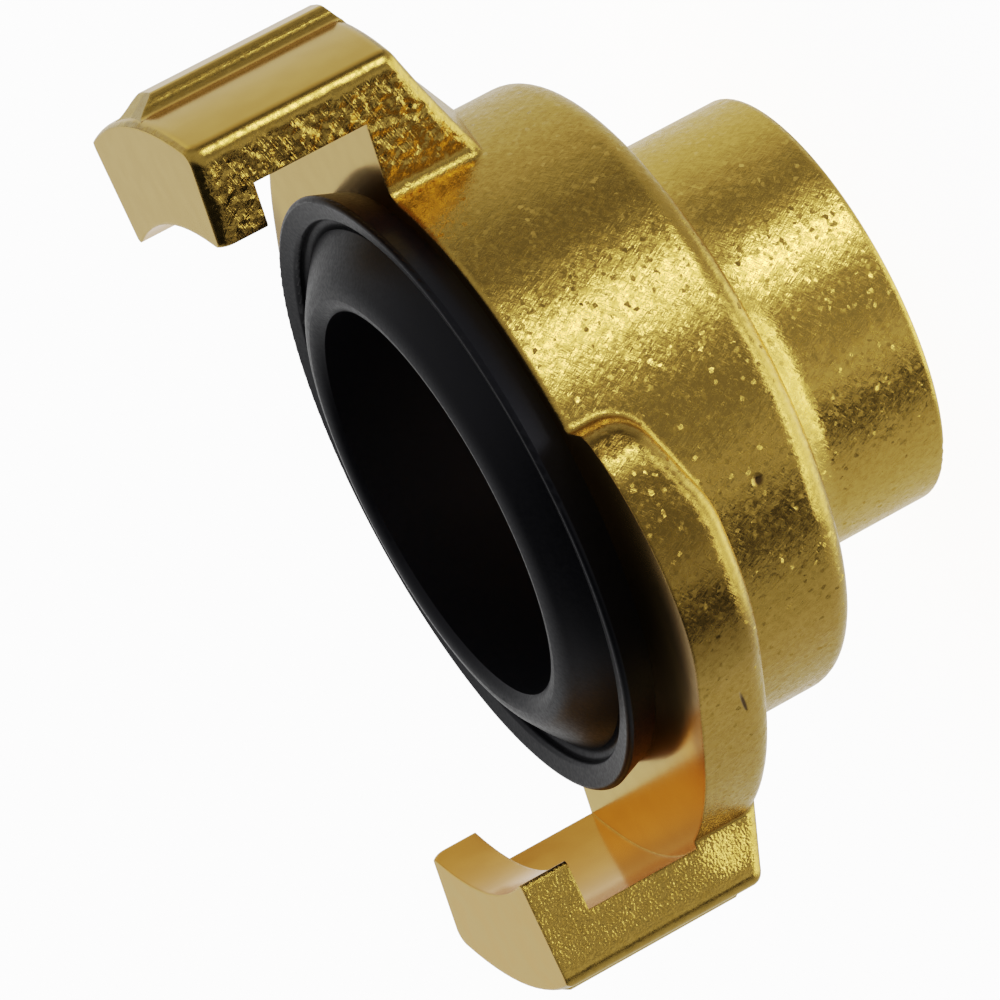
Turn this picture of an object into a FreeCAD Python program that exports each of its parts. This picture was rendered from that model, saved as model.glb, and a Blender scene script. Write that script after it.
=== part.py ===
import FreeCAD, Part
import math
import os

# Quick coupling with two claws, 40 mm claw distance, female pipe thread.
# Units are mm.  +Z is the coupling axis, from the pipe socket towards the claws.
# The origin is the centre of the socket's end face.  +X runs through the
# middle of the first claw; the second claw is the first turned by 180 degrees.

V = FreeCAD.Vector

# ---------------------------------------------------------------- dimensions
claw_distance = 40.0          # diameter between the inner faces of the hooks
total_height = 31.0           # socket end to the front of the hooks
face_z = 21.45                # machined flange face
hook_back_z = 28.2            # rear face of the hooks
rim_z = 23.5                  # front of the seal's outer rim

socket_r = 12.05              # pipe socket, outside
socket_edge = 0.35            # rounding of the socket's end
shoulder_z = 9.55             # rear shoulder of the body
shoulder_fillet = 1.5         # convex rounding of the shoulder
neck_fillet = 1.2             # concave rounding between shoulder and socket
body_r = 18.08                # body
face_edge = 0.25              # rounding of the flange face's edge

thread_root_r = 10.48         # G 1/2 thread, major radius
thread_depth = 13.2
thread_mouth_r = 11.15
waterway_r = 9.0

recess_mouth_r = 14.2         # lip that holds the seal
recess_lip_z = 19.7
recess_r = 15.6               # groove for the seal's collar
recess_floor_z = 16.8
recess_step_r = 12.6
recess_cone_z = 14.9

hook_inner_r = claw_distance / 2.0 - 0.15
bar_inner_r = 22.65
claw_outer_r = 25.75
claw_minus_deg = -21.6        # radial flank
claw_plus_w = 7.3             # parallel flank
claw_edge = 0.9               # rounding of the forged claw edges
tip_edge = 0.3                # rounding at the hook's inner corners
hook_edge = 1.1               # rounding of the hook's leading flank, before the front is turned off
front_cut = 0.3               # turned off the front of the hooks
back_edge = 0.7               # rounding of the claw root's rear edges
back_ridge = ((5.0, 7.3), (32.0, 21.56))      # (radius, z) along the middle of the claw's back
back_side = ((5.0, 17.45), (32.0, 21.13))     # and 16 mm to either side
back_side_w = 16.0

rib_top_r = 26.6
rib_top_half = 0.8            # half width of the flat on the rib's top
rib_round = 0.8               # rounding from there to the slope
rib_slope_deg = 62.0          # steepest part of the slope
rib_foot = 1.0                # concave rounding from the slope to the claw
rib_foot_deg = 5.0            # slope of the claw's outside at the rib's foot
rib_base_r = 25.05
rib_top_z = 29.2              # front end of the rib's top
rib_base_z = 31.5             # and of its foot

# outline of the wing beside the claw, (angle, radius)
wing_outline = ((14.0, 22.4), (42.0, 21.75), (58.0, 22.15), (67.0, 22.93),
                (76.0, 23.1), (88.0, 22.35), (100.4, 20.4))
wing_end = (102.6, 17.0)
wing_r = 23.1
wing_back_z = 17.4            # back of the wing at wing_r
wing_back_slope = 0.15        # and its draft, rise per mm of radius
ramp_start_deg = 84.5         # locking ramp on the wing's back
ramp_end = (21.0, 98.4, 18.65)
ramp_crease = 5.0
wing_end_edge = 2.2
wing_edge = 1.4
root_fillet = 0.4             # concave rounding where the wing meets body and claw
claw_foot = 0.7               # concave rounding at the foot of the radial flank

# seal (moulded rubber)
seal_bore_r = 11.4
seal_end_z = 16.85
seal_collar_r = 15.5
seal_collar_top_z = 19.65
seal_neck_r = 14.1
seal_foot_r = 17.0
seal_rim_r = 17.66
seal_rim_edge = 0.3


# ------------------------------------------------------------------- helpers
def rz(r, z):
    return V(r, 0.0, z)


def polar(r, deg, z=0.0):
    a = math.radians(deg)
    return V(r * math.cos(a), r * math.sin(a), z)


def line(a, b):
    return Part.LineSegment(a, b).toShape()


def arc(a, b, c):
    return Part.Arc(a, b, c).toShape()


def chain(points):
    return [line(a, b) for a, b in zip(points, points[1:])]


def revolve(edges):
    return Part.Face(Part.Wire(edges)).revolve(V(0, 0, 0), V(0, 0, 1), 360)


def prism(points, along):
    return Part.Face(Part.makePolygon(list(points) + [points[0]])).extrude(along)


def cyl(r, z0, z1):
    return Part.makeCylinder(r, z1 - z0, V(0, 0, z0))


def quarter(centre, r, start_deg, end_deg):
    # arc in the XZ plane
    out = []
    for deg in (start_deg, 0.5 * (start_deg + end_deg), end_deg):
        a = math.radians(deg)
        out.append(V(centre[0] + r * math.cos(a), 0.0, centre[1] + r * math.sin(a)))
    return out


def single(shape):
    return shape.Solids[0] if len(shape.Solids) == 1 else shape


def edges_at(shape, points, tol=0.06):
    # edges that pass through the given points
    found = []
    for p in points:
        hit = [e for e in shape.Edges if e.distToShape(Part.Vertex(p))[0] < tol]
        if not hit:
            raise ValueError("no edge at %s" % p)
        found += [e for e in hit if not any(e.isSame(f) for f in found)]
    return found


def fillet(shape, radius, points, tol=0.06):
    return single(shape.makeFillet(radius, edges_at(shape, points, tol)))


# ------------------------------------------------------- outside of revolution
s = socket_edge
c1 = quarter((socket_r - s, s), s, -90, 0)
n = neck_fillet
c2 = quarter((socket_r + n, shoulder_z - n), n, 180, 90)
h = shoulder_fillet
c3 = quarter((body_r - h, shoulder_z + h), h, -90, 0)
e0 = face_edge
c4 = quarter((body_r - e0, face_z - e0), e0, 0, 90)
core = revolve([
    line(rz(0, 0), c1[0]), arc(*c1), line(c1[2], c2[0]), arc(*c2), line(c2[2], c3[0]), arc(*c3),
    line(c3[2], c4[0]), arc(*c4), line(c4[2], rz(0, face_z)), line(rz(0, face_z), rz(0, 0)),
])

# ------------------------------------------------------------------ one claw
zl = 8.0
r_in = 9.0


def flank(r, z):
    return polar(r, claw_minus_deg, z)


def plus_at(r, z):
    return V(math.sqrt(r * r - claw_plus_w ** 2), claw_plus_w, z)


p2, p3, p4 = flank(claw_outer_r, zl), plus_at(claw_outer_r, zl), V(r_in, claw_plus_w, zl)
# concave rounding between the radial flank and the body
reach = body_r + claw_foot - 0.02
f2 = flank(math.sqrt(reach ** 2 - claw_foot ** 2), zl)
away = polar(claw_foot, claw_minus_deg - 90.0)
fc = f2 + away
down = V(-fc.x, -fc.y, 0).normalize()
half_way = (down - away.normalize()).normalize()
f1 = fc + half_way * claw_foot
f0 = fc + down * claw_foot
inside = polar(16.5, claw_minus_deg - 2.0, zl)
foot = Part.Face(Part.Wire([line(inside, f0), arc(f0, f1, f2), line(f2, p2), arc(p2, V(claw_outer_r, 0, zl), p3),
                            line(p3, p4), line(p4, flank(r_in, zl)), line(flank(r_in, zl), inside)]))
raw_height = total_height + front_cut
claw = foot.extrude(V(0, 0, raw_height - zl))
claw = claw.cut(cyl(bar_inner_r, face_z, hook_back_z))
claw = single(claw.cut(cyl(hook_inner_r, hook_back_z - 1.0, total_height + 1.0)))
claw = fillet(claw, hook_edge, [flank(22.0, raw_height)])
claw = fillet(claw, claw_edge, [flank(claw_outer_r, 24.0), plus_at(claw_outer_r, 24.0)])
claw = fillet(claw, tip_edge, [flank(hook_inner_r, 29.2), plus_at(hook_inner_r, 29.6)])
claw = single(claw.cut(Part.makeBox(20, 40, 5, V(15, -20, total_height))))


# rib along the outside of the claw, with a smooth S-shaped flank on both sides
def turn(centre, radius, deg):
    q = math.radians(deg)
    return V(centre.x + radius * math.cos(q), centre.y + radius * math.sin(q), 9.0)


crest = V(rib_top_r - rib_round, rib_top_half, 9.0)
knee = turn(crest, rib_round, rib_slope_deg)
hollow = turn(knee, rib_foot, rib_slope_deg)
mid_deg = 0.5 * (rib_slope_deg + rib_foot_deg)
side = [turn(crest, rib_round, 0.0), turn(crest, rib_round, 0.5 * rib_slope_deg), knee,
        turn(hollow, -rib_foot, mid_deg), turn(hollow, -rib_foot, rib_foot_deg)]
mirror = [V(q.x, -q.y, q.z) for q in side]
deep = [V(rib_base_r - 1.0, side[4].y, 9.0), V(rib_base_r - 1.0, -side[4].y, 9.0)]
cross = Part.Face(Part.Wire([
    line(mirror[0], side[0]), arc(side[0], side[1], side[2]), arc(side[2], side[3], side[4]),
    line(side[4], deep[0]), line(deep[0], deep[1]), line(deep[1], mirror[4]),
    arc(mirror[4], mirror[3], mirror[2]), arc(mirror[2], mirror[1], mirror[0]),
])).extrude(V(0, 0, total_height - 9.0))
nose = prism([rz(20, 8), rz(rib_top_r + 1, 8), rz(rib_top_r + 1, rib_top_z - (rib_base_z - rib_top_z) / (rib_top_r - rib_base_r)),
              rz(rib_base_r, rib_base_z), rz(20, rib_base_z)], V(0, 12, 0))
nose.translate(V(0, -6, 0))
rib = single(cross.common(nose))
claw = single(claw.fuse(rib))


# the back of the claw root falls away from a ridge to both flanks
def quad(low, high, w):
    return Part.makePolygon([V(low[0], w, low[1]), V(high[0], w, high[1]), V(high[0], w, -20.0),
                             V(low[0], w, -20.0), V(low[0], w, low[1])])


def back_z(u, w):
    t = (u - back_ridge[0][0]) / (back_ridge[1][0] - back_ridge[0][0])
    za = back_ridge[0][1] + t * (back_ridge[1][1] - back_ridge[0][1])
    zb = back_side[0][1] + t * (back_side[1][1] - back_side[0][1])
    return za + (zb - za) * abs(w) / back_side_w


for side in (-1.0, 1.0):
    claw = claw.cut(Part.makeLoft([quad(*back_ridge, 0.0), quad(*back_side, side * back_side_w)], True, True))
claw = single(claw)
m = flank(22.0, 0.0)
p = plus_at(22.0, 0.0)
claw = fillet(claw, back_edge, [V(m.x, m.y, back_z(m.x, m.y)), V(p.x, p.y, back_z(p.x, p.y))], 0.1)

# ------------------------------------------------------------------ one wing
o = [polar(r, deg, zl) for deg, r in wing_outline]
w_end = polar(wing_end[1], wing_end[0], zl)
rim = Part.BSplineCurve()
rim.interpolate(o)
wing_face = Part.Face(Part.Wire([
    line(V(10, 0, zl), o[0]), rim.toShape(), line(o[6], w_end),
    line(w_end, V(0, 10, zl)), line(V(0, 10, zl), V(10, 0, zl)),
]))
wing = wing_face.extrude(V(0, 0, face_z - zl))
# conical back with forging draft
cone_low = wing_back_z - wing_back_slope * wing_r


def cone_z(r):
    return cone_low + wing_back_slope * r


wing = wing.cut(revolve(chain([rz(0, -5), rz(40, -5), rz(40, cone_z(40)), rz(0, cone_z(0)), rz(0, -5)])))
# locking ramp on the back of the free end
q1 = polar(wing_r, ramp_start_deg, cone_z(wing_r))
q2 = polar(body_r, ramp_start_deg, cone_z(body_r))
q3 = polar(*ramp_end)
nrm = (q2 - q1).cross(q3 - q1)


def plane_z(x, y):
    return q1.z - (nrm.x * (x - q1.x) + nrm.y * (y - q1.y)) / nrm.z


tang = polar(25.0, ramp_start_deg + 90.0)
a = polar(8.0, ramp_start_deg)
b = polar(32.0, ramp_start_deg)
along = V(tang.x, tang.y, plane_z(a.x + tang.x, a.y + tang.y) - plane_z(a.x, a.y))
wing = wing.cut(prism([V(a.x, a.y, plane_z(a.x, a.y)), V(b.x, b.y, plane_z(b.x, b.y)),
                       V(b.x, b.y, -20), V(a.x, a.y, -20)], along))
wing = single(wing)
end_mid = (o[6] + w_end) * 0.5
wing = fillet(wing, ramp_crease, [polar(20.6, ramp_start_deg, cone_z(20.6))], 0.3)
wing = fillet(wing, wing_end_edge, [V(end_mid.x, end_mid.y, plane_z(end_mid.x, end_mid.y))], 0.2)
wing = fillet(wing, wing_edge, [polar(wing_outline[1][1], wing_outline[1][0], cone_z(wing_outline[1][1])),
                                polar(wing_outline[3][1], wing_outline[3][0], cone_z(wing_outline[3][1])),
                                V(o[5].x, o[5].y, plane_z(o[5].x, o[5].y))], 0.35)

# ---------------------------------------------------------------- whole body
half = claw.fuse(wing)
other = half.copy()
other.rotate(V(0, 0, 0), V(0, 0, 1), 180)
body = core.fuse([half, other])

# inside of revolution: thread bore, waterway, seal recess
ch = thread_mouth_r - thread_root_r
inner = revolve(chain([
    rz(0, -1), rz(thread_mouth_r, -1), rz(thread_mouth_r, 0), rz(thread_root_r, ch),
    rz(thread_root_r, thread_depth), rz(waterway_r, thread_depth), rz(waterway_r, recess_cone_z),
    rz(recess_step_r, recess_floor_z), rz(recess_r, recess_floor_z), rz(recess_r, recess_lip_z),
    rz(recess_mouth_r, recess_lip_z), rz(recess_mouth_r, face_z + 1), rz(0, face_z + 1), rz(0, -1),
]))
body = single(body.cut(inner).removeSplitter())
# concave roundings: wing to body, and wing to the claw's parallel flank
wall = math.sqrt(22.2 ** 2 - claw_plus_w ** 2)
body = fillet(body, root_fillet, [polar(body_r, 50, cone_z(body_r)), polar(body_r, 230, cone_z(body_r)),
                                  V(wall, claw_plus_w, 20.0), V(-wall, -claw_plus_w, 20.0)], 0.15)

# ---------------------------------------------------------------------- seal
z0 = rim_z
e1 = seal_rim_edge
seal = revolve([
    line(rz(seal_bore_r, seal_end_z), rz(seal_collar_r, seal_end_z)),
    line(rz(seal_collar_r, seal_end_z), rz(seal_collar_r, seal_collar_top_z)),
    line(rz(seal_collar_r, seal_collar_top_z), rz(seal_neck_r, seal_collar_top_z)),
    line(rz(seal_neck_r, seal_collar_top_z), rz(seal_neck_r, face_z)),
    line(rz(seal_neck_r, face_z), rz(seal_foot_r, face_z)),
    line(rz(seal_foot_r, face_z), rz(seal_rim_r, z0 - e1)),
    arc(rz(seal_rim_r, z0 - e1), rz(seal_rim_r - 0.3 * e1, z0 - 0.25 * e1), rz(seal_rim_r - e1, z0)),
    # the rim's face falls a little towards the groove
    line(rz(seal_rim_r - e1, z0), rz(16.4, z0 - 0.22)),
    arc(rz(16.4, z0 - 0.22), rz(16.22, z0 - 0.33), rz(16.15, z0 - 0.53)),
    arc(rz(16.15, z0 - 0.53), rz(15.8, z0 - 1.05), rz(15.45, z0 - 0.75)),
    # lip: steep outer slope, rounded crest, bore
    arc(rz(15.45, z0 - 0.75), rz(14.5, z0 + 0.05), rz(13.6, z0 + 0.7)),
    arc(rz(13.6, z0 + 0.7), rz(12.97, z0 + 1.065), rz(12.3, z0 + 1.22)),
    arc(rz(12.3, z0 + 1.22), rz(11.85, z0 + 1.13), rz(seal_bore_r, z0 + 0.8)),
    line(rz(seal_bore_r, z0 + 0.8), rz(seal_bore_r, seal_end_z)),
])

os.makedirs("parts", exist_ok=True)
body.exportStep("parts/coupling_body.step")
seal.exportStep("parts/seal_ring.step")
print("body", body.ShapeType, body.isValid(), round(body.Volume, 1), len(body.Faces), body.BoundBox)
print("seal", seal.ShapeType, seal.isValid(), round(seal.Volume, 1), "overlap", round(body.common(seal).Volume, 4))
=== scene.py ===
import math

import bmesh
import bpy
from mathutils import Matrix, Vector


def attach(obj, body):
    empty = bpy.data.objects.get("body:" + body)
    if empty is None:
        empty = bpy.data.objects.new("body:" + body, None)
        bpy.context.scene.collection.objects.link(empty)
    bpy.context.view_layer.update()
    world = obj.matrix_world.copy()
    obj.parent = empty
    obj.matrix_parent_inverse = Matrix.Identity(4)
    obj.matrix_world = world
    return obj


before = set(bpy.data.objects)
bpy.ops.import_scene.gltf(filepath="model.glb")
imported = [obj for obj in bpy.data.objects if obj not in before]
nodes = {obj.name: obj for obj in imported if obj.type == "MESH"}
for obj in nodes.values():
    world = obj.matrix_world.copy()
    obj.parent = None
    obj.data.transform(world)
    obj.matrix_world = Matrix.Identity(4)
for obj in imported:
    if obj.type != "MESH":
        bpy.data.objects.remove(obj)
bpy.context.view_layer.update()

scene = bpy.context.scene
MM = 0.001

# ------------------------------------------------------------------ camera
# The coupling stands on its socket; the view is rolled, so its axis lies across the picture.
CAM_X = Vector((-0.41350322, -0.33238224, -0.8476657))
CAM_Y = Vector((0.88785045, 0.05917863, -0.45631072))
CAM_Z = Vector((0.20183327, -0.94128632, 0.27063517))
CAM_AT = Vector((76.93830316, -365.49767604, 126.15113037)) * MM
cam_data = bpy.data.cameras.new("camera")
cam_data.lens = 263.4
cam_data.sensor_width = 36.0
cam_data.clip_start = 0.01
cam_data.clip_end = 20.0
cam = bpy.data.objects.new("camera", cam_data)
scene.collection.objects.link(cam)
m = Matrix.Identity(4)
for i, axis in enumerate((CAM_X, CAM_Y, CAM_Z)):
    for j in range(3):
        m[j][i] = axis[j]
m.translation = CAM_AT
cam.matrix_world = m
scene.camera = cam


# ------------------------------------------------------------- node helpers
class Tree:
    """A short way to write node trees."""

    def __init__(self, tree):
        self.t = tree
        self.n = tree.nodes
        self.l = tree.links

    def node(self, kind, **kw):
        n = self.n.new(kind)
        for k, v in kw.items():
            setattr(n, k, v)
        return n

    def put(self, socket, value):
        if isinstance(value, bpy.types.NodeSocket):
            self.l.new(value, socket)
        elif value is not None:
            socket.default_value = value

    def math(self, op, a, b=None, c=None, clamp=False):
        n = self.node("ShaderNodeMath", operation=op, use_clamp=clamp)
        for s, v in zip(n.inputs, (a, b, c)):
            self.put(s, v)
        return n.outputs[0]

    def vmath(self, op, a, b=None, scale=None):
        n = self.node("ShaderNodeVectorMath", operation=op)
        self.put(n.inputs[0], a)
        if b is not None:
            self.put(n.inputs[1], b)
        if scale is not None:
            self.put(n.inputs["Scale"], scale)
        return n.outputs["Value"] if op in ("DOT_PRODUCT", "LENGTH", "DISTANCE") else n.outputs["Vector"]

    def smooth(self, x, lo, hi, out_lo=0.0, out_hi=1.0):
        n = self.node("ShaderNodeMapRange", interpolation_type="SMOOTHSTEP")
        self.put(n.inputs["Value"], x)
        for name, v in (("From Min", lo), ("From Max", hi), ("To Min", out_lo), ("To Max", out_hi)):
            self.put(n.inputs[name], v)
        return n.outputs["Result"]

    def mix(self, f, a, b, blend="MIX"):
        n = self.node("ShaderNodeMix", data_type="RGBA", blend_type=blend)
        self.put(n.inputs[0], f)
        self.put(n.inputs[6], a)
        self.put(n.inputs[7], b)
        return n.outputs[2]

    def fmix(self, f, a, b):
        n = self.node("ShaderNodeMix", data_type="FLOAT")
        self.put(n.inputs[0], f)
        self.put(n.inputs[2], a)
        self.put(n.inputs[3], b)
        return n.outputs[0]

    def noise(self, vec, scale, detail=2.0, rough=0.5, dist=0.0):
        n = self.node("ShaderNodeTexNoise")
        self.put(n.inputs["Vector"], vec)
        self.put(n.inputs["Scale"], scale)
        self.put(n.inputs["Detail"], detail)
        self.put(n.inputs["Roughness"], rough)
        self.put(n.inputs["Distortion"], dist)
        return n.outputs["Fac"]

    def bump(self, height, strength, distance, normal=None):
        n = self.node("ShaderNodeBump")
        self.put(n.inputs["Height"], height)
        self.put(n.inputs["Strength"], strength)
        n.inputs["Distance"].default_value = distance
        if normal is not None:
            self.put(n.inputs["Normal"], normal)
        return n.outputs["Normal"]

    def xyz(self, v):
        n = self.node("ShaderNodeSeparateXYZ")
        self.put(n.inputs[0], v)
        return n.outputs[0], n.outputs[1], n.outputs[2]


def rgb(r, g, b):
    return (r, g, b, 1.0)


# ------------------------------------------------------------------- world
# A soft studio: white sweep behind, two softboxes, dark room in front.
world = bpy.data.worlds.new("studio")
scene.world = world
world.use_nodes = True
w = Tree(world.node_tree)
w.n.clear()
coord = w.node("ShaderNodeTexCoord").outputs["Generated"]
front = w.vmath("DOT_PRODUCT", coord, tuple(CAM_Z))


def blob(direction, inner_deg, outer_deg, level=1.0):
    d = Vector(direction).normalized()
    d = CAM_X * d[0] + CAM_Y * d[1] + CAM_Z * d[2]
    c = w.vmath("DOT_PRODUCT", coord, tuple(d))
    return w.smooth(c, math.cos(math.radians(outer_deg)), math.cos(math.radians(inner_deg)), 0.0, level)


def strip(end_a, end_b, offset, half, soft, level=1.0):
    """A long narrow softbox between two directions, moved sideways by offset."""
    a, b = Vector(end_a).normalized(), Vector(end_b).normalized()
    side, mid = a.cross(b).normalized(), (a + b).normalized()
    reach = math.degrees(math.acos(mid.dot(a)))
    s = CAM_X * side[0] + CAM_Y * side[1] + CAM_Z * side[2]
    across = w.math("ABSOLUTE", plus(w.vmath("DOT_PRODUCT", coord, tuple(s)), offset))
    along = blob(mid, reach - 4.0, reach + 4.0, level)
    return w.math("MULTIPLY", along, w.smooth(across, half + soft, half - soft))


def plus(a, b):
    return w.math("ADD", a, b)


def dim(a, spot):
    return w.math("MULTIPLY", a, w.math("SUBTRACT", 1.0, spot))


level = w.smooth(front, 0.05, -0.45, 0.43, 0.54)                    # the white sweep behind
level = plus(level, w.smooth(front, -0.40, -0.90, 0.0, 0.13))
level = plus(level, w.smooth(front, -0.86, -0.99, 0.0, 0.40))
level = plus(level, blob((-0.22, 0.72, -0.66), 16, 42, 0.16))
level = plus(level, blob((-0.78, 0.55, -0.30), 14, 30, 0.26))       # fill from the left
level = plus(level, blob((0.70, -0.24, 0.67), 3, 14, 0.16))
level = dim(level, blob((-0.05, 0.95, 0.32), 6, 17, 0.60))          # dark above
level = dim(level, blob((0.55, 0.12, 0.82), 8, 24, 0.42))
level = dim(level, blob((-0.45, -0.80, 0.35), 24, 44, 0.95))        # dark in front, below
level = dim(level, blob((0.20, -0.93, 0.35), 10, 30, 0.90))
level = dim(level, blob((0.77, -0.54, 0.35), 10.5, 14, 0.97))
level = plus(level, blob((0.245, 0.635, 0.73), 6, 12, 2.1))         # key softbox
level = plus(level, strip((0.64, 0.60, 0.48), (0.935, -0.35, 0.05), 0.06, 0.10, 0.03, 3.0))    # side softbox
level = plus(level, blob((0.93, 0.24, -0.27), 12, 36, 1.5))         # white card below the socket
background = w.node("ShaderNodeBackground")
background.inputs["Color"].default_value = rgb(1.0, 1.0, 0.99)
w.put(background.inputs["Strength"], level)
w.l.new(background.outputs[0], w.node("ShaderNodeOutputWorld").inputs[0])

# ------------------------------------------------------------------- floor
bpy.ops.mesh.primitive_plane_add(size=6.0, location=(0, 0, 0))
floor = bpy.context.object
floor.name = "floor"
floor.visible_glossy = False
floor.visible_diffuse = False
floor.visible_shadow = False
fm = bpy.data.materials.new("floor")
fm.use_nodes = True
fb = fm.node_tree.nodes["Principled BSDF"]
fb.inputs["Base Color"].default_value = rgb(0.9, 0.9, 0.9)
fb.inputs["Roughness"].default_value = 0.9
fb.inputs["Emission Color"].default_value = rgb(1.0, 1.0, 1.0)
fb.inputs["Emission Strength"].default_value = 2.3
floor.data.materials.append(fm)


# ------------------------------------------------------------------ lights
def area(name, direction, distance, size, power, aim=(0, 0, 0.016)):
    """A softbox given by its direction in the studio's axes."""
    d = Vector(direction).normalized()
    d = CAM_X * d[0] + CAM_Y * d[1] + CAM_Z * d[2]
    light = bpy.data.lights.new(name, "AREA")
    light.shape = "DISK"
    light.size = size
    light.energy = power
    o = bpy.data.objects.new(name, light)
    scene.collection.objects.link(o)
    o.location = Vector(aim) + d * distance
    o.rotation_mode = "QUATERNION"
    o.rotation_quaternion = d.to_track_quat("Z", "Y")
    return o


area("key", (0.235, 0.65, 0.72), 1.0, 0.24, 0.8)


# --------------------------------------------------------------- materials
def new_material(name):
    mat = bpy.data.materials.new(name)
    mat.use_nodes = True
    return mat, Tree(mat.node_tree), mat.node_tree.nodes["Principled BSDF"]


brass, t, p = new_material("brass")
tc = t.node("ShaderNodeTexCoord")
mm = t.vmath("SCALE", tc.outputs["Object"], scale=1000.0)
X, Y, Z = t.xyz(mm)
NX, NY, NZ = t.xyz(tc.outputs["Normal"])
R = t.math("SQRT", t.math("ADD", t.math("MULTIPLY", X, X), t.math("MULTIPLY", Y, Y)))
out = t.math("DIVIDE", t.math("ADD", t.math("MULTIPLY", X, NX), t.math("MULTIPLY", Y, NY)), t.math("MAXIMUM", R, 1.0))
# turned faces: front faces, flange, inside of the hooks, bores; the claws' outside is smooth too
up = t.smooth(NZ, 0.90, 0.98)
inward = t.smooth(out, -0.6, -0.85)
claw_out = t.math("MULTIPLY", t.smooth(out, 0.90, 0.97), t.smooth(R, 24.4, 25.0))
hook_back = t.math("MULTIPLY", t.smooth(NZ, -0.9, -0.97), t.smooth(Z, 26.0, 27.0))
turned = t.math("MAXIMUM", t.math("MAXIMUM", up, inward), t.math("MAXIMUM", claw_out, hook_back))
rough_skin = t.math("SUBTRACT", 1.0, turned)
rough_skin = t.math("MULTIPLY", rough_skin, t.smooth(R, 24.5, 25.1, 1.0, 0.25))     # rubbed smooth on the outside
# the claws' forged flanks are dented more than the body
flank = t.math("MULTIPLY", t.smooth(R, 18.4, 19.5), t.smooth(t.math("ABSOLUTE", out), 0.75, 0.45))
flank = t.math("MULTIPLY", flank, t.smooth(t.math("ABSOLUTE", NZ), 0.6, 0.3))
side = t.math("DIVIDE", t.math("SUBTRACT", t.math("MULTIPLY", X, NY), t.math("MULTIPLY", Y, NX)), t.math("MAXIMUM", R, 1.0))
fine_flank = t.math("MULTIPLY", flank, t.smooth(side, -0.3, 0.3))
flank = t.math("MULTIPLY", flank, t.smooth(side, -0.3, 0.3, 1.0, 0.25))             # the radial ones more

grain = t.noise(mm, 3.2, 2.0, 0.6)
wave = t.noise(mm, 0.55, 1.0, 0.5)
dents = t.noise(mm, t.smooth(side, -0.3, 0.3, 1.7, 7.5), 0.0, 0.5)
# brushing: two crossed sets of short strokes on the forged skin
arc = t.math("MULTIPLY", t.math("ADD", t.math("ARCTAN2", Y, X), 0.9), R)


def strokes(deg, along, across, shift):
    c, s = math.cos(math.radians(deg)), math.sin(math.radians(deg))
    a = t.math("ADD", t.math("MULTIPLY", arc, c * along), t.math("MULTIPLY", Z, s * along))
    b = t.math("ADD", t.math("MULTIPLY", arc, -s * across), t.math("MULTIPLY", Z, c * across))
    n = t.node("ShaderNodeCombineXYZ")
    t.put(n.inputs[0], a)
    t.put(n.inputs[1], b)
    n.inputs[2].default_value = shift
    return t.noise(n.outputs[0], 1.0, 1.0, 0.6)


brushed = t.math("MAXIMUM", strokes(35, 1.0, 10.0, 0.0), strokes(-62, 0.9, 8.5, 9.0))
cells = t.node("ShaderNodeTexVoronoi", feature="F1")
t.put(cells.inputs["Vector"], mm)
cells.inputs["Scale"].default_value = 4.4
tilt = t.vmath("SUBTRACT", cells.outputs["Color"], (0.5, 0.5, 0.5))
CR, CG, CB = t.xyz(cells.outputs["Color"])
rare = t.smooth(CR, 0.76, 0.82)                                     # a few facets stand off
rarest = t.smooth(CR, 0.94, 0.955)

# one small pit in the body, and a scratch on a wing
ex, ey, ez = -3.09, -17.81, 13.30
pit = t.smooth(t.vmath("DISTANCE", mm, (ex, ey, ez)), 0.42, 0.12)
sa, sb = Vector((-12.17, -18.21, 19.09)), Vector((-13.74, -17.06, 18.75))
sd = (sb - sa).normalized()
rel = t.vmath("SUBTRACT", mm, tuple((sa + sb) / 2))
along = t.vmath("DOT_PRODUCT", rel, tuple(sd))
off = t.vmath("LENGTH", t.vmath("SUBTRACT", rel, t.vmath("SCALE", tuple(sd), scale=along)))
scratch = t.math("MULTIPLY", t.smooth(off, 0.15, 0.05),
                 t.smooth(t.math("ABSOLUTE", along), (sb - sa).length / 2 + 0.1, (sb - sa).length / 2 - 0.2))
mark = t.math("MAXIMUM", pit, scratch)

height = t.math("ADD", t.math("MULTIPLY", grain, 0.55), t.math("MULTIPLY", wave, 2.0))
height = t.math("ADD", height, t.math("MULTIPLY", brushed, 0.5))
height = t.math("ADD", height, t.math("MULTIPLY", dents, t.math("ADD", t.math("MULTIPLY", flank, 1.9),
                                                                t.math("MULTIPLY", fine_flank, 0.4))))
height = t.math("SUBTRACT", height, t.math("MULTIPLY", mark, 2.5))
strength = t.math("MULTIPLY", rough_skin, t.math("ADD", 0.30, t.math("MULTIPLY", flank, 0.42)))
strength = t.math("ADD", strength, 0.02)
edge = t.node("ShaderNodeBevel", samples=3)
edge.inputs["Radius"].default_value = 0.00022
bumped = t.bump(height, strength, 0.00011, edge.outputs["Normal"])
facet = t.math("ADD", 0.05, t.math("MULTIPLY", rare, 0.10))
facet = t.math("ADD", facet, t.math("MULTIPLY", rarest, 0.22))
facet = t.math("ADD", facet, t.math("MULTIPLY", flank, 0.12))
facet = t.math("MULTIPLY", facet, t.math("SUBTRACT", 1.0, t.math("MULTIPLY", fine_flank, 0.5)))
amount = t.math("MULTIPLY", rough_skin, facet)
normal = t.vmath("ADD", bumped, t.vmath("SCALE", tilt, scale=amount))
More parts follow.
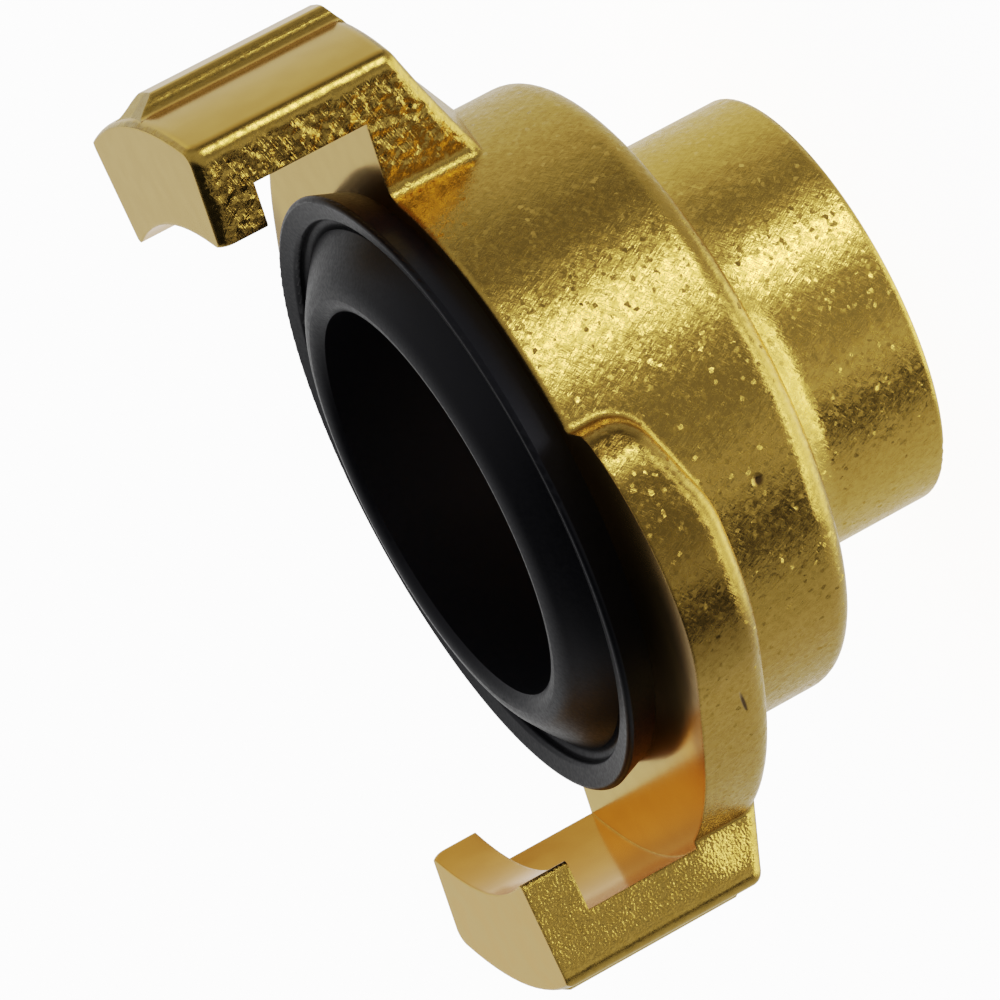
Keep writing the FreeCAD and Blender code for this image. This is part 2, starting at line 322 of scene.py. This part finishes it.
# the wing's wall is a little flatter before it turns into the free end
turn = t.math("MODULO", t.math("ADD", t.math("ARCTAN2", Y, X), 2.0 * math.pi), math.pi)
bend = t.math("MULTIPLY", t.smooth(turn, math.radians(86.0), math.radians(93.0)),
              t.smooth(turn, math.radians(96.5), math.radians(94.5)))
wall = t.math("MULTIPLY", t.smooth(R, 19.2, 20.0), t.smooth(out, 0.75, 0.88))
bend = t.math("MULTIPLY", bend, wall)
# painted shade: the wing's wall is darkened along most of its length, except a narrow lit strip
painted_shade_wing = t.math("SUBTRACT", 1.0, t.math("MULTIPLY", t.smooth(turn, math.radians(91.5), math.radians(93.0)),
                                      t.smooth(turn, math.radians(96.6), math.radians(95.6))))
painted_shade_wing = t.math("MULTIPLY", painted_shade_wing, t.math("MULTIPLY", wall, t.smooth(turn, math.radians(56.0), math.radians(69.0))))
# painted shade: the wing's free end is darkened further
painted_shade_tip = t.math("MULTIPLY", t.smooth(turn, math.radians(96.2), math.radians(97.2)), t.smooth(R, 19.2, 20.0))
painted_shade_tip = t.math("MULTIPLY", painted_shade_tip, t.smooth(turn, math.radians(112.0), math.radians(104.0)))
painted_shade_tip = t.math("MULTIPLY", painted_shade_tip, t.smooth(t.math("ABSOLUTE", NZ), 0.7, 0.4))
across = t.node("ShaderNodeCombineXYZ")
t.put(across.inputs[0], Y)
t.put(across.inputs[1], t.math("MULTIPLY", X, -1.0))
bend = t.math("MULTIPLY", bend, t.math("DIVIDE", 0.17, t.math("MAXIMUM", R, 1.0)))
normal = t.vmath("ADD", normal, t.vmath("SCALE", across.outputs[0], scale=bend))
# the socket flares softly into the shoulder
flare = t.math("MULTIPLY", t.smooth(Z, 6.3, 7.7), t.smooth(R, 12.6, 12.3))
flare = t.math("MULTIPLY", flare, t.smooth(out, 0.8, 0.95))
flare = t.math("MULTIPLY", flare, t.smooth(turn, math.radians(115.0), math.radians(92.0), 0.25, 1.0))
normal = t.vmath("ADD", normal, t.vmath("SCALE", (0.0, 0.0, -0.36), scale=flare))
# a flattened spot near the root of one claw
spot = t.math("MULTIPLY", fine_flank, t.smooth(t.vmath("DISTANCE", mm, (-22.24, -7.27, 19.95)), 2.0, 0.5))
normal = t.vmath("ADD", normal, t.vmath("SCALE", (-0.095, 0.034, -0.228), scale=spot))
normal = t.vmath("NORMALIZE", normal)

p.inputs["Metallic"].default_value = 1.0
skin = t.mix(t.smooth(grain, 0.3, 0.7), rgb(0.80, 0.545, 0.150), rgb(0.72, 0.480, 0.120))
skin = t.mix(t.smooth(Z, 9.4, 8.2), t.mix(1.0, skin, rgb(0.79, 0.79, 0.79), "MULTIPLY"), skin)
# painted shade on the wing's wall
skin = t.mix(painted_shade_wing, skin, t.mix(1.0, skin, rgb(0.68, 0.67, 0.66), "MULTIPLY"))
# painted shade on the wing's free end
skin = t.mix(painted_shade_tip, skin, t.mix(1.0, skin, rgb(0.66, 0.64, 0.62), "MULTIPLY"))
skin = t.mix(fine_flank, skin, t.mix(1.0, skin, rgb(1.12, 1.12, 1.12), "MULTIPLY"))
skin = t.mix(mark, skin, rgb(0.16, 0.10, 0.04))
plain = t.mix(t.smooth(wave, 0.3, 0.7), rgb(0.82, 0.525, 0.135), rgb(0.78, 0.49, 0.115))
plain = t.mix(claw_out, plain, t.mix(1.0, plain, rgb(0.80, 0.80, 0.80), "MULTIPLY"))
plain = t.mix(t.math("MULTIPLY", inward, t.smooth(R, 18.0, 19.0)), plain,
              t.mix(1.0, plain, rgb(0.90, 0.80, 0.67), "MULTIPLY"))
# one claw is a little more tarnished, and its front face is mottled
tarnish = t.math("MULTIPLY", t.smooth(X, -15.0, -18.0), t.smooth(Z, 21.0, 21.6))
mottle = t.smooth(wave, 0.35, 0.65)
plain = t.mix(t.math("MULTIPLY", tarnish, t.math("MULTIPLY", up, t.smooth(Z, 27.0, 29.0))), plain,
              t.mix(1.0, plain, t.mix(mottle, rgb(1.05, 0.92, 0.62), rgb(1.07, 1.01, 0.86)), "MULTIPLY"))
plain = t.mix(t.math("MULTIPLY", tarnish, t.math("MULTIPLY", up, t.smooth(Z, 29.0, 27.0))), plain,
              t.mix(1.0, plain, rgb(1.10, 1.12, 1.10), "MULTIPLY"))
plain = t.mix(t.math("MULTIPLY", tarnish, inward), plain, t.mix(1.0, plain, rgb(0.92, 0.83, 0.76), "MULTIPLY"))
# painted dark reflection: the wings' front faces are darkened towards their edge
painted_reflection_face = t.math("MULTIPLY", t.math("MULTIPLY", up, t.smooth(Z, 22.0, 21.7)), t.smooth(R, 20.0, 21.2))
painted_reflection_face = t.math("MULTIPLY", painted_reflection_face, t.math("MULTIPLY", t.smooth(turn, math.radians(38.0), math.radians(48.0)),
                                       t.smooth(turn, math.radians(82.0), math.radians(72.0))))
plain = t.mix(painted_reflection_face, plain, t.mix(1.0, plain, rgb(0.58, 0.54, 0.46), "MULTIPLY"))
t.put(p.inputs["Base Color"], t.mix(turned, skin, plain))
t.put(p.inputs["Roughness"], t.fmix(turned, t.smooth(grain, 0.3, 0.7, 0.20, 0.30), 0.17))
t.put(p.inputs["Normal"], normal)

rubber, t, p = new_material("seal_rubber")
tc = t.node("ShaderNodeTexCoord")
mm = t.vmath("SCALE", tc.outputs["Object"], scale=1000.0)
fine = t.noise(mm, 5.0, 3.0, 0.6)
t.put(p.inputs["Base Color"], t.mix(fine, rgb(0.006, 0.006, 0.009), rgb(0.010, 0.010, 0.014)))
t.put(p.inputs["Roughness"], t.smooth(fine, 0.3, 0.7, 0.31, 0.42))
p.inputs["Specular IOR Level"].default_value = 0.36
p.inputs["Specular Tint"].default_value = rgb(0.92, 0.92, 1.0)
t.put(p.inputs["Normal"], t.bump(fine, 0.15, 0.00003))

for name, mat in (("coupling_body", brass), ("seal_ring", rubber)):
    o = nodes[name]
    o.data.materials.clear()
    o.data.materials.append(mat)

# --------------------------------------------------------- pipe thread ridge
pitch, top_r, root_r, z_a, z_b = 1.814, 9.35, 10.50, 1.35, 12.1
steps = 72
turns = (z_b - z_a) / pitch
bm = bmesh.new()
rings = []
for i in range(int(turns * steps) + 1):
    a = 2.0 * math.pi * i / steps
    zc = z_a + pitch * i / steps
    fade = min(1.0, i / 20.0, (int(turns * steps) - i) / 20.0)
    rt = root_r - (root_r - top_r) * max(fade, 0.02)
    ring = []
    for r, dz in ((root_r, -0.80), (rt, -0.18), (rt, 0.18), (root_r, 0.80)):
        ring.append(bm.verts.new((r * math.cos(a) * MM, r * math.sin(a) * MM, (zc + dz) * MM)))
    rings.append(ring)
for ra, rb in zip(rings, rings[1:]):
    for k in range(4):
        q = (k + 1) % 4
        bm.faces.new((ra[k], rb[k], rb[q], ra[q]))
bm.faces.new(rings[0])
bm.faces.new(list(reversed(rings[-1])))
bmesh.ops.recalc_face_normals(bm, faces=bm.faces[:])
me = bpy.data.meshes.new("thread_ridge")
bm.to_mesh(me)
bm.free()
ridge = bpy.data.objects.new("thread_ridge", me)
scene.collection.objects.link(ridge)
me.materials.append(brass)
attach(ridge, "root")

# ------------------------------------------------------------ colour finish
view = scene.view_settings
view.view_transform = "Standard"
view.look = "None"
view.use_curve_mapping = True
cm = view.curve_mapping
WHITE = 3.2
cm.black_level = (0.0, 0.0, 0.0)
cm.white_level = (WHITE, WHITE, WHITE)
curve = cm.curves[3]
points = [(0.0, 0.0), (0.03, 0.016), (0.1, 0.078), (0.2, 0.185), (0.4, 0.38), (0.7, 0.55),
          (1.12, 0.694), (1.6, 0.80), (2.3, 0.94), (WHITE, 1.0)]
curve.points[0].location = (0.0, 0.0)
curve.points[-1].location = (1.0, 1.0)
for x, y in points[1:-1]:
    curve.points.new(x / WHITE, y)
cm.update()
